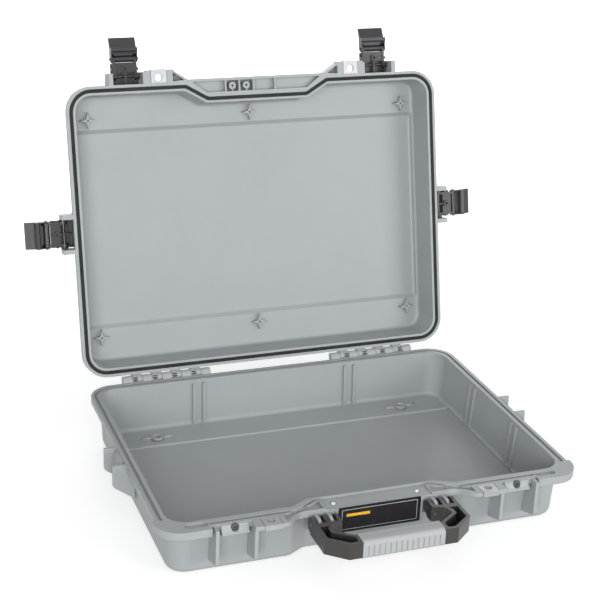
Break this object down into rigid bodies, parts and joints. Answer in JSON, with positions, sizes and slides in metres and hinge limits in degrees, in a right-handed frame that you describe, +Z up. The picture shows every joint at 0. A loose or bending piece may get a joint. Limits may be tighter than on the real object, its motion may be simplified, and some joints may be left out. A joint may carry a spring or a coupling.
{
  "type": "tool case",
  "caption": "Shallow hard tool case standing open, with a gasketed lid on knuckle hinges, fold-over latches, padlock eyes and a folding handle with a ribbed grip.",
  "frame": {"origin": "centre of the base's underside, which stands on the floor", "axes": "+X to the case's right seen from the front, -Y towards the front with the handle, +Z up"},
  "size_m": [0.6172, 0.5765, 0.4832],
  "materials": {
    "case_grey": "fine moulded grain",
    "latch_black": "satin moulded",
    "handle_black": "satin moulded",
    "grip_grey": "matt overmoulded",
    "gasket_black": "matt",
    "plate_steel": "brushed stainless",
    "pin_steel": "drawn stainless",
    "screw_steel": "blackened",
    "label_black": null
  },
  "bodies": {
    "base": {"base_shell": "case_grey", "base_padlock_plate_left": "plate_steel", "base_padlock_plate_right": "plate_steel", "label_plate": "label_black", "catch_screws": "screw_steel", "hinge_pin_left": "pin_steel", "hinge_pin_right": "pin_steel", "handle_pin_left": "pin_steel", "handle_pin_right": "pin_steel"},
    "lid": {"lid_shell": "case_grey", "lid_gasket": "gasket_black", "lid_padlock_plate_left": "plate_steel", "lid_padlock_plate_right": "plate_steel", "latch_pin_front_left": "screw_steel", "latch_pin_front_right": "screw_steel", "latch_pin_side_left": "screw_steel", "latch_pin_side_right": "screw_steel"},
    "handle": {"handle_frame": "handle_black", "handle_grip": "grip_grey"},
    "link_front_left": {"latch_link_front_left": "latch_black"},
    "lever_front_left": {"latch_lever_front_left": "latch_black", "lever_pin_front_left": "screw_steel"},
    "link_front_right": {"latch_link_front_right": "latch_black"},
    "lever_front_right": {"latch_lever_front_right": "latch_black", "lever_pin_front_right": "screw_steel"},
    "link_side_left": {"latch_link_side_left": "latch_black"},
    "lever_side_left": {"latch_lever_side_left": "latch_black", "lever_pin_side_left": "screw_steel"},
    "link_side_right": {"latch_link_side_right": "latch_black"},
    "lever_side_right": {"latch_lever_side_right": "latch_black", "lever_pin_side_right": "screw_steel"}
  },
  "joints": [
    {"name": "lid_hinge", "type": "hinge", "parent": "base", "child": "lid", "pos_m": [0, 0.1915, 0.0663], "axis": [1, 0, 0], "range_deg": [0, 103.5]},
    {"name": "latch_link_front_left", "type": "hinge", "parent": "lid", "child": "link_front_left", "pos_m": [-0.1694, 0.29979, 0.43727], "axis": [1, 0, 0], "range_deg": [0, 90]},
    {"name": "latch_lever_front_left", "type": "hinge", "parent": "link_front_left", "child": "lever_front_left", "pos_m": [-0.1694, 0.30493, 0.45866], "axis": [1, 0, 0], "range_deg": [-40, 0]},
    {"name": "latch_link_front_right", "type": "hinge", "parent": "lid", "child": "link_front_right", "pos_m": [0.1694, 0.29979, 0.43727], "axis": [1, 0, 0], "range_deg": [0, 90]},
    {"name": "latch_lever_front_right", "type": "hinge", "parent": "link_front_right", "child": "lever_front_right", "pos_m": [0.1694, 0.30493, 0.45866], "axis": [1, 0, 0], "range_deg": [-40, 0]},
    {"name": "latch_link_side_left", "type": "hinge", "parent": "lid", "child": "link_side_left", "pos_m": [-0.26, 0.25485, 0.25009], "axis": [0, 0.2334, 0.9724], "range_deg": [0, 90]},
    {"name": "latch_lever_side_left", "type": "hinge", "parent": "link_side_left", "child": "lever_side_left", "pos_m": [-0.282, 0.25485, 0.25009], "axis": [0, 0.2334, 0.9724], "range_deg": [-40, 0]},
    {"name": "latch_link_side_right", "type": "hinge", "parent": "lid", "child": "link_side_right", "pos_m": [0.26, 0.25485, 0.25009], "axis": [0, -0.2334, -0.9724], "range_deg": [0, 90]},
    {"name": "latch_lever_side_right", "type": "hinge", "parent": "link_side_right", "child": "lever_side_right", "pos_m": [0.282, 0.25485, 0.25009], "axis": [0, -0.2334, -0.9724], "range_deg": [-40, 0]},
    {"name": "handle_pivot", "type": "hinge", "parent": "base", "child": "handle", "pos_m": [0, -0.1945, 0.054], "axis": [1, 0, 0], "range_deg": [-83, 45]}
  ]
}
